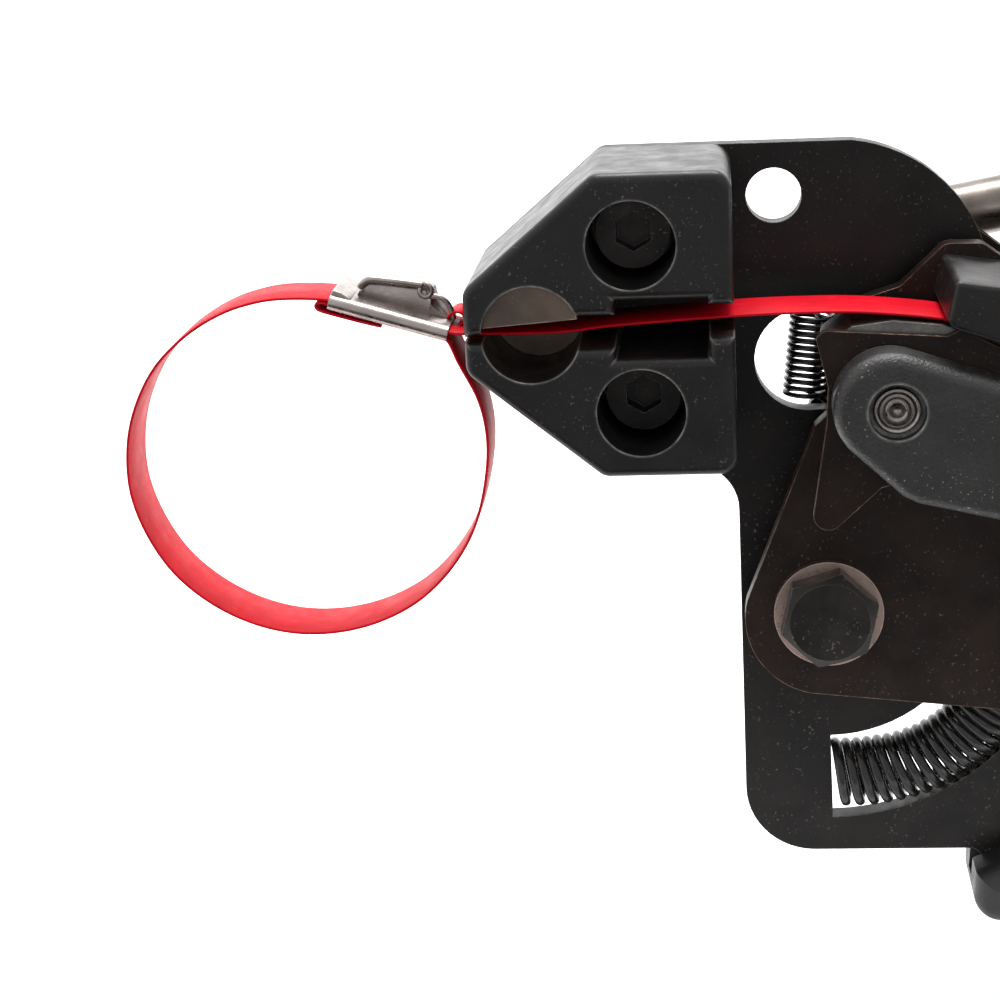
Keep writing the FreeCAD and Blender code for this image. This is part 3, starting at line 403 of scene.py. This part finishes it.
BRIGHT_EDGE = (0.50, 0.49, 0.47)
COPPER_EDGE = (0.34, 0.23, 0.17)
LOOKS = {
    "black_plate": worn_metal("plate_black", (0.0032, 0.0026, 0.0025), (0.0075, 0.0056, 0.005),
                              (0.30, 0.27, 0.22), 0.40, specks=0.25, edge_radius=0.0003,
                              edge_amount=0.7, gloss=0.2),
    "black_block": worn_metal("block_black", (0.0055, 0.005, 0.005), (0.010, 0.0088, 0.0088),
                              BRIGHT_EDGE, 0.36, specks=0.3, edge_radius=0.0008,
                              grain=(2300, 0.4, 0.00006), edge_amount=0.5, gloss=0.3),
    "cast_lever": worn_metal("lever_cast", (0.0095, 0.009, 0.009), (0.019, 0.018, 0.0175),
                             BRIGHT_EDGE, 0.36, specks=1.0, edge_radius=0.0011,
                             grain=(2100, 1.0, 0.0002), edge_amount=0.6, gloss=0.5,
                             dust_scale=2300),
    "oiled_steel": worn_metal("arm_oiled", (0.0052, 0.0027, 0.0021), (0.014, 0.0072, 0.005),
                              COPPER_EDGE, 0.42, specks=0.22, edge_radius=0.00028, gloss=0.18),
    "bolt_steel": worn_metal("bolt_dark", (0.012, 0.0108, 0.0104), (0.032, 0.028, 0.026),
                             (0.20, 0.19, 0.18), 0.36, specks=0.45, metallic=0.5,
                             edge_radius=0.0003),
    "washer_steel": bare_metal("washer_pink", (0.50, 0.37, 0.32), (0.33, 0.25, 0.22), 0.33),
    "cutter_steel": worn_metal("cutter_bronze", (0.14, 0.105, 0.085), (0.075, 0.058, 0.05),
                               (0.62, 0.52, 0.44), 0.45, specks=0.3, metallic=0.75,
                               edge_radius=0.0004),
    "spring_wire": worn_metal("spring_black", (0.0035, 0.0032, 0.003), (0.007, 0.006, 0.0052),
                              (0.05, 0.045, 0.04), 0.25, specks=0.1, edge_amount=0.2,
                              grain=(2600, 0.12, 0.00002), gloss=0.4),
    "pin_steel": bare_metal("pin_bright", (0.26, 0.24, 0.23), (0.17, 0.155, 0.145), 0.24),
    "rod_steel": bare_metal("rod_satin", (0.19, 0.165, 0.145), (0.11, 0.095, 0.085), 0.3,
                            (0.15, 1, 1), 1100),
    "grip_rubber": rubber("grip_black"),
    "tie_coat": coating("tie_red", (0.50, 0.002, 0.011), (0.41, 0.0015, 0.009), 0.5),
    "buckle_steel": bare_metal("buckle_satin", (0.40, 0.35, 0.33), (0.27, 0.235, 0.22), 0.28,
                               (0.3, 1, 1), 1500),
    "jaw_steel": bare_metal("jaw_grey", (0.20, 0.195, 0.19), (0.11, 0.105, 0.10), 0.42),
}


def dress(piece, slot):
    """The slot's material, and no other, on the piece."""
    piece.data.materials.clear()
    piece.data.materials.append(LOOKS[slot])


def finish_piece(piece, body, slot, *replaced):
    """The slot's material and the body of a new piece; the CAD nodes it stands in for are
    hidden.
    """
    dress(piece, slot)
    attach(piece, body)
    if replaced:
        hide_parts(*replaced)


for entry in frame["record"]["subparts"]:
    cad_node = NODES[entry["node"]]
    dress(cad_node, entry["material_slot"])
    smooth_by_angle(cad_node, 28)


# ------------------------------------------------------------------ springs
def around_bolt(degrees, radius, y=0.0):
    """Point at that angle from straight down, towards the handles."""
    angle = math.radians(degrees)
    return Vector((BOLT.x + radius * math.sin(angle), y, BOLT.z - radius * math.cos(angle)))


def from_bolt(point):
    return math.hypot(point.x - BOLT.x, point.z - BOLT.z)


def build_return_spring():
    """Compression spring bent round the pivot, from the plate's window edge to the seat."""
    wire, turns, steps = 0.98 * MM, 16.8, 26
    start, end = 2.4, 56.2
    first_phase = math.pi - 0.5
    spread = 0.16   # how much wider the pitch is at the window's edge than on average
    track = from_bolt(centre("spring_seat"))
    mean = size("return_spring").y / 2 - wire
    # The spring sags outwards in the middle: its line's distance from the bolt, in mm,
    # less the seat's own.
    bow = spline([(-1.2, 0, 0), (-0.3, 0, 0), (0.7, 0, 0), (0.9, 0, 0), (0.4, 0, 0)], 12)
    path = []
    for i in range(int(turns * steps) + 1):
        t = i / (turns * steps)
        phase = TURN * t * turns + first_phase
        t = (1 + spread) * t - spread * t * t
        off = bow[min(int(t * (len(bow) - 1)), len(bow) - 1)].x * MM
        path.append(around_bolt(start + (end - start) * t,
                                track + off + mean * math.cos(phase), mean * math.sin(phase)))
    spring = tube("return_spring_coil", path, wire, 12)
    dress(spring, "spring_wire")
    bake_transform(spring)
    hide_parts("return_spring")


def build_jaw_spring():
    """Tension spring behind the gripper, with a hook to a post at each end."""
    wire, outer, turns, steps, sides = 0.46 * MM, 4.2 * MM, 12, 24, 10
    track = from_bolt(PIN)
    low = around_bolt(180 + 4.9, track - 7.2 * MM)
    high = around_bolt(180 + 1.7, track + 8.2 * MM)
    side = Vector((0, 1, 0))
    across = (high - low).normalized().cross(side)
    path = []
    for i in range(turns * steps + 1):
        t = i / (turns * steps)
        phase = TURN * turns * t
        path.append(low.lerp(high, t) + (side * math.cos(phase) + across * math.sin(phase))
                    * (outer - wire))
    spring = tube("jaw_spring_coil", path, wire, sides)
    dress(spring, "spring_wire")
    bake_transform(spring)
    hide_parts("jaw_spring")

    lower, upper = centre("arm_spring_post"), centre("gripper_spring_post")
    lower.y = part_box("arm_spring_post")[0].y + wire
    upper.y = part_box("gripper_spring_post")[1].y - wire
    hook_rise = Vector((0, 0, 0.3 * MM))
    for end, tip, post, body in (("lower", path[0], lower, "arm"),
                                 ("upper", path[-1], upper, "gripper")):
        way = spline([tip, tip.lerp(post, 0.5) + hook_rise, post], 6)
        hook = tube("jaw_spring_hook_" + end, way, wire, sides)
        finish_piece(hook, body, "spring_wire")


# ------------------------------------------------------------------ tie
def buckle_frame():
    """Matrix with its origin under the middle of the buckle and X along it."""
    tilt, half_tall = math.radians(17.2), 1.5 * MM
    return (Matrix.Translation(centre("tie_buckle")) @ Matrix.Rotation(tilt, 4, "Y")
            @ Matrix.Translation((0, 0, -half_tall)))


def on_buckle(x, z):
    """Point of the tie's middle plane, given along and above the buckle's underside."""
    spot = buckle_frame() @ Vector((x * MM, 0, z * MM))
    return Vector((spot.x, 0, spot.z))


def build_loop():
    """Loop of the tie, from inside the buckle's left end round to its right end."""
    middle = centre("tie_loop")
    reach = size("tie_loop").x / 2
    # Outline as degrees from straight up (anticlockwise) and share of the CAD loop's radius.
    shape = [(2, 0.975), (12, 0.98), (24, 0.985), (38, 0.99), (53, 1.0), (68, 1.0), (82, 1.0),
             (97, 1.0), (112, 0.99), (127, 0.985), (142, 0.975), (157, 0.97), (172, 0.97),
             (187, 0.97), (202, 0.975), (217, 0.985), (232, 0.99), (247, 1.0), (262, 1.01),
             (277, 1.04), (290, 1.062), (303, 1.07)]
    path = [on_buckle(-8.5, 1.6), on_buckle(-11.5, 1.7)]
    path += [middle + Vector((-math.sin(math.radians(a)), 0, math.cos(math.radians(a))))
             * (reach * share - TIE_THICKNESS) for a, share in shape]
    path += [on_buckle(10.9, 0.4), on_buckle(8.5, 0.7)]
    strip = ribbon("tie_loop_strip", spline(path, 6), TIE_FRONT, TIE_BACK, TIE_THICKNESS)
    finish_piece(strip, "frame", "tie_coat", "tie_loop")


def build_band():
    """Free end of the tie: out of the buckle, between the nose blocks and into the jaws."""
    low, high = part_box("tie_band")
    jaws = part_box("upper_jaw_block")[0].x
    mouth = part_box("nose_block_lower")[0].x
    slot = (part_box("nose_block_lower")[1].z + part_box("nose_block_upper")[0].z) / 2
    path = [on_buckle(9, 2.0), on_buckle(11.2, 1.9)]
    # The rest as x and height over the slot between the blocks.
    for x, rise in ((mouth, -0.15), (HUB.x, -0.3), (mouth * 0.55, 0.55), (mouth * 0.35, 1.2),
                    (-8 * MM, 1.75), (1 * MM, 2.0), (PIN.x - 8 * MM, 1.95), (PIN.x, 1.35),
                    (jaws - 1.5 * MM, 0.5), (jaws + 2 * MM, -0.35), (jaws + 8.5 * MM, -2.7)):
        path.append(Vector((x, 0, slot + rise * MM)))
    path.append(Vector((high.x, 0, low.z + 0.4 * MM)))
    band = ribbon("tie_band_strip", spline(path, 6), TIE_FRONT, TIE_BACK, TIE_THICKNESS)
    dress(band, "tie_coat")
    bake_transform(band)
    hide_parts("tie_band")


def build_sleeve():
    """Flat tube with rounded sides, open at both ends."""
    half, tall, wide = 10.7 * MM, 2.9 * MM, 7.2 * MM
    wall, arc_steps = 0.55 * MM, 8

    def ring(x, grow):
        radius = tall / 2 + grow
        points = []
        for sign in (-1, 1):
            for k in range(arc_steps + 1):
                angle = math.pi * (k / arc_steps) - sign * math.pi / 2
                points.append(Vector((x, sign * (wide - tall / 2) + radius * math.cos(angle),
                                      tall / 2 + radius * math.sin(angle))))
        return points
    rings = [ring(x, grow) for grow in (0, -wall) for x in (-half, half)]
    n = len(rings[0])
    faces = []
    for k in range(n):
        j = (k + 1) % n
        faces += [(k, j, n + j, n + k), (2 * n + k, 3 * n + k, 3 * n + j, 2 * n + j),
                  (k, 2 * n + k, 2 * n + j, j), (n + k, n + j, 3 * n + j, 3 * n + k)]
    sleeve = new_mesh("tie_buckle_sleeve", [point for ring in rings for point in ring], faces)
    smooth_by_angle(sleeve, 40)
    return sleeve


def build_tab():
    """Bent tab across the sleeve's left end."""
    outline = [(-10.7, 2.7), (-10.65, 3.5), (-10.1, 3.8), (-8.8, 3.6), (-7.2, 3.0), (-6.8, 2.7)]
    tab = prism("tie_buckle_tab", [(x * MM, z * MM) for x, z in outline], -6.2 * MM, 6.2 * MM)
    round_off(tab, 0.25 * MM)
    return tab


def build_tongue(near, far):
    """Plate that rises from the sleeve towards the nose, crowned across."""
    foot, underside, inset = 2.6, 2.4, 0.5
    profile = [(-6.7, 2.7), (-6.4, 4.4), (-5.4, 6.0), (-3.4, 6.5), (-0.6, 7.0), (2.4, 7.5),
               (4.6, 7.7), (5.9, 7.2), (6.6, 5.9), (7.7, 4.7), (9.0, 3.8), (10.3, 2.9)]
    rings, points_across = [], 13
    for spot in spline([(x, 0, z) for x, z in profile], 4):
        row = []
        for k in range(points_across):
            share = k / (points_across - 1) * 2 - 1
            dip = 1.0 - 0.5 * abs(share) ** 6
            y = (near + far) / 2 + (far - near) / 2 * share
            row.append(Vector((spot.x * MM, y * MM, (foot + (spot.z - foot) * dip) * MM)))
        base = [Vector((v.x, v.y + (inset if v.y < 2 * MM else 0.0) * MM, underside * MM))
                for v in reversed(row)]
        rings.append(row + base)
    tongue = lofted("tie_tongue_plate", rings)
    smooth_by_angle(tongue, 45)
    return tongue


def build_curl(near):
    """Wire rolled up at the tongue's high end."""
    steps, outer, tightening = 45, 1.35, 0.75
    path = []
    for k in range(steps + 1):
        t = k / steps
        angle = math.radians(110 - 500 * t)
        radius = (outer - tightening * t) * MM
        path.append(Vector((4.7 * MM + radius * math.cos(angle), (near - 0.3 + 0.7 * t) * MM,
                            6.7 * MM + radius * math.sin(angle))))
    return tube("tie_tongue_curl", path, 0.44 * MM, 10)


def build_buckle():
    """Folded steel sleeve, tab, raised tongue with its rolled edge, and the tie's two ends."""
    near, far = -1.2, 5.6   # front and back edge of the tongue
    fold_thickness = 0.45 * MM

    def wire(name, points, radius):
        way = spline([Vector((x * MM, y * MM, z * MM)) for x, y, z in points], 8)
        return tube(name, way, radius * MM, 12)
    sleeve, tab, tongue = build_sleeve(), build_tab(), build_tongue(near, far)
    bar = wire("tie_tongue_bar", [(-6.5, near + 0.3, 4.2), (-6.2, near, 5.2),
                                  (-5.2, near - 0.1, 6.1), (-3.2, near - 0.1, 6.6),
                                  (0.5, near - 0.1, 7.2), (4.2, near - 0.1, 7.7)], 0.62)
    curl = build_curl(near)
    hook = wire("tie_tongue_hook", [(5.8, near + 0.2, 6.0), (7.4, near + 0.2, 6.3),
                                    (9.0, near + 0.4, 5.6), (10.2, near + 0.6, 4.2),
                                    (10.7, near + 0.8, 3.0)], 0.5)
    half_width = (TIE_BACK - TIE_FRONT) / 2
    tail = ribbon("tie_tail_fold", xz_spline([
        (-10.2, 1.0), (-11.8, 1.0), (-12.75, 0.55), (-12.6, -0.15), (-11.4, -0.5),
        (-6.5, -0.5), (-2.4, -0.4), (-0.8, -0.3)], 6), -half_width, half_width, fold_thickness)
    stub = ribbon("tie_end_fold", xz_spline([
        (9.6, 2.3), (10.0, 3.6), (11.0, 4.5), (12.2, 4.3), (12.7, 3.2), (12.0, 2.4)], 6),
        near * MM, far * MM, fold_thickness)
    place = buckle_frame()
    for piece in (sleeve, tab, tongue, bar, curl, hook, tail, stub):
        piece.data.transform(place)
    finish_piece(sleeve, "frame", "buckle_steel", "tie_buckle")
    finish_piece(tongue, "frame", "buckle_steel", "tie_tongue")
    for piece in (tab, bar, curl, hook):
        finish_piece(piece, "frame", "buckle_steel")
    for piece in (tail, stub):
        finish_piece(piece, "frame", "tie_coat")


# ------------------------------------------------------------------ bolt and pin
def build_bolt_head():
    """Hexagon head with a chamfer that leaves a round top, on its shank."""
    low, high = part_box("pivot_bolt")
    half_flats, tall, face = 8 * MM, 4.6 * MM, 7.3 * MM
    shank, shank_end, end_chamfer = 5 * MM, 4.2 * MM, 1 * MM
    chamfer_slope = math.tan(math.radians(33))
    turn, steps = math.radians(13.5), 96
    angles = [TURN * k / steps + turn for k in range(steps)]

    def hex_radius(angle):
        return half_flats / math.cos((angle - turn) % (math.pi / 3) - math.pi / 6)

    def circle(radius, y):
        return [(radius, y)] * steps
    rings = [circle(face * share, low.y) for share in (0.0, 0.5, 1.0)]
    for share in (0.5, 1.0):
        radii = [face + (hex_radius(angle) - face) * share for angle in angles]
        rings.append([(r, low.y + max(0, r - face) * chamfer_slope) for r in radii])
    rings.append([(hex_radius(angle), low.y + tall) for angle in angles])
    rings += [circle(shank, low.y + tall), circle(shank, high.y - end_chamfer),
              circle(shank_end, high.y)]
    verts = [round_about(BOLT, angle, r, y) for ring in rings
             for (r, y), angle in zip(ring, angles)]
    faces = skin_faces(len(rings), steps) + [end_face(len(rings), steps)]
    bolt = new_mesh("pivot_bolt_detailed", verts, faces)
    tool = bmesh.new()
    tool.from_mesh(bolt.data)
    bmesh.ops.remove_doubles(tool, verts=tool.verts, dist=1e-6)
    tool.to_mesh(bolt.data)
    tool.free()
    smooth_by_angle(bolt, 24)
    finish_piece(bolt, "arm", "bolt_steel", "pivot_bolt")


def build_jaw_pin():
    """Pin with a cupped end: rim, sunk ring, raised ring and centre dimple."""
    low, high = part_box("jaw_pin")
    radius, groove = 4.0, 3.3
    cup = [(0.35, 1.5), (0.75, 1.3), (1.15, 0.75), (1.45, 0.3), (1.75, 0.15), (2.05, 0.3),
           (2.4, 0.8), (2.9, 0.85), (3.2, 0.5), (3.4, 0.12), (3.65, 0.0), (3.88, 0.1),
           (radius, 0.35)]
    rear = [(radius, 2.3), (groove, 2.2), (groove, 1.2), (radius, 1.1), (radius, 0.3),
            (3.7, 0.0)]
    profile = [(r * MM, low.y + y * MM) for r, y in cup]
    profile += [(r * MM, high.y - y * MM) for r, y in rear]
    pin = turned("jaw_pin_turned", PIN, profile)
    smooth_by_angle(pin, 40)
    finish_piece(pin, "arm", "pin_steel", "jaw_pin")


build_return_spring()
build_jaw_spring()
build_jaw_pin()
build_loop()
build_band()
build_buckle()
build_bolt_head()

# ------------------------------------------------------------------ studio
def build_floor():
    """Pale floor just under the object."""
    half_width, front, back, thickness = 0.9, -0.1, 0.5, 0.01
    top = CAD_BOX[0][2] - 1 * MM
    floor = prism("studio_floor", [(-half_width, top - thickness), (half_width, top - thickness),
                                   (half_width, top), (-half_width, top)], front, back)
    paint = Nodes("floor_white")
    paint.link(paint.mix(paint.noise(6), (0.93, 0.93, 0.93), (0.96, 0.96, 0.96)),
               paint.shader.inputs["Base Color"])
    paint.set(Roughness=0.9, Emission_Color=(1, 1, 1, 1), Emission_Strength=0.3)
    floor.data.materials.append(paint.material)


def light(name, spot, width, height, power):
    """Rectangular softbox aimed at the middle of the object."""
    middle = Vector((0, 0, BOLT.z / 2))
    lamp = bpy.data.lights.new(name, "AREA")
    lamp.shape = "RECTANGLE"
    lamp.size, lamp.size_y, lamp.energy = width, height, power
    holder = bpy.data.objects.new(name, lamp)
    holder.location = spot
    holder.rotation_euler = (middle - Vector(spot)).to_track_quat("-Z", "Y").to_euler()
    bpy.context.scene.collection.objects.link(holder)


def build_world():
    """White backdrop; its light is strong above and behind, and fades downwards in front."""
    world = bpy.data.worlds.new("studio_world")
    world.use_nodes = True
    n = Tree(world.node_tree)
    background = n.tree.nodes["Background"]
    split = n.add("ShaderNodeSeparateXYZ")
    n.link(n.add("ShaderNodeTexCoord").outputs["Generated"], split.inputs[0])
    behind = n.remap(split.outputs["Y"], -0.2, 0.45, 0.02, 2.3)
    above = n.remap(split.outputs["Z"], 0.35, 0.85, 0.0, 1.3)
    level = n.remap(split.outputs["Z"], -0.4, -0.12, 0.02, 0.9)
    seen = n.add("ShaderNodeLightPath").outputs["Is Camera Ray"]
    strength = behind
    for other in (above, level, seen):
        strength = n.math("MAXIMUM", strength, other, clamp=False)
    background.inputs["Color"].default_value = (1, 1, 1, 1)
    n.link(strength, background.inputs["Strength"])
    bpy.context.scene.world = world


def build_camera():
    """View of the tie side, a little from above."""
    place = (-8.624 * MM, -402.0 * MM, 69.185 * MM)
    down, turned_left, roll = math.radians(13.5538), math.radians(4.71), math.radians(-2.6)
    lens = bpy.data.cameras.new("camera")
    lens.sensor_width = 36
    lens.lens = 80.64
    lens.shift_x, lens.shift_y = -0.05, -0.15
    lens.clip_start = 0.01
    camera = bpy.data.objects.new("camera", lens)
    forward = Vector((-math.sin(turned_left) * math.cos(down),
                      math.cos(turned_left) * math.cos(down), -math.sin(down)))
    right = Vector((math.cos(turned_left), math.sin(turned_left), 0))
    up = right.cross(forward)
    right, up = (right * math.cos(roll) + up * math.sin(roll),
                 up * math.cos(roll) - right * math.sin(roll))
    basis = Matrix((right, up, -forward)).transposed().to_4x4()
    camera.matrix_world = Matrix.Translation(place) @ basis
    bpy.context.scene.collection.objects.link(camera)
    bpy.context.scene.camera = camera
    bpy.context.scene.view_settings.view_transform = "Standard"


build_floor()
light("top_softbox", (0.05, 0.10, 0.75), 0.5, 0.35, 9)
light("left_softbox", (-0.75, -0.25, 0.25), 0.7, 0.9, 1.4)
light("front_fill", (0.25, -0.9, 0.10), 0.22, 0.22, 0.2)
build_world()
build_camera()
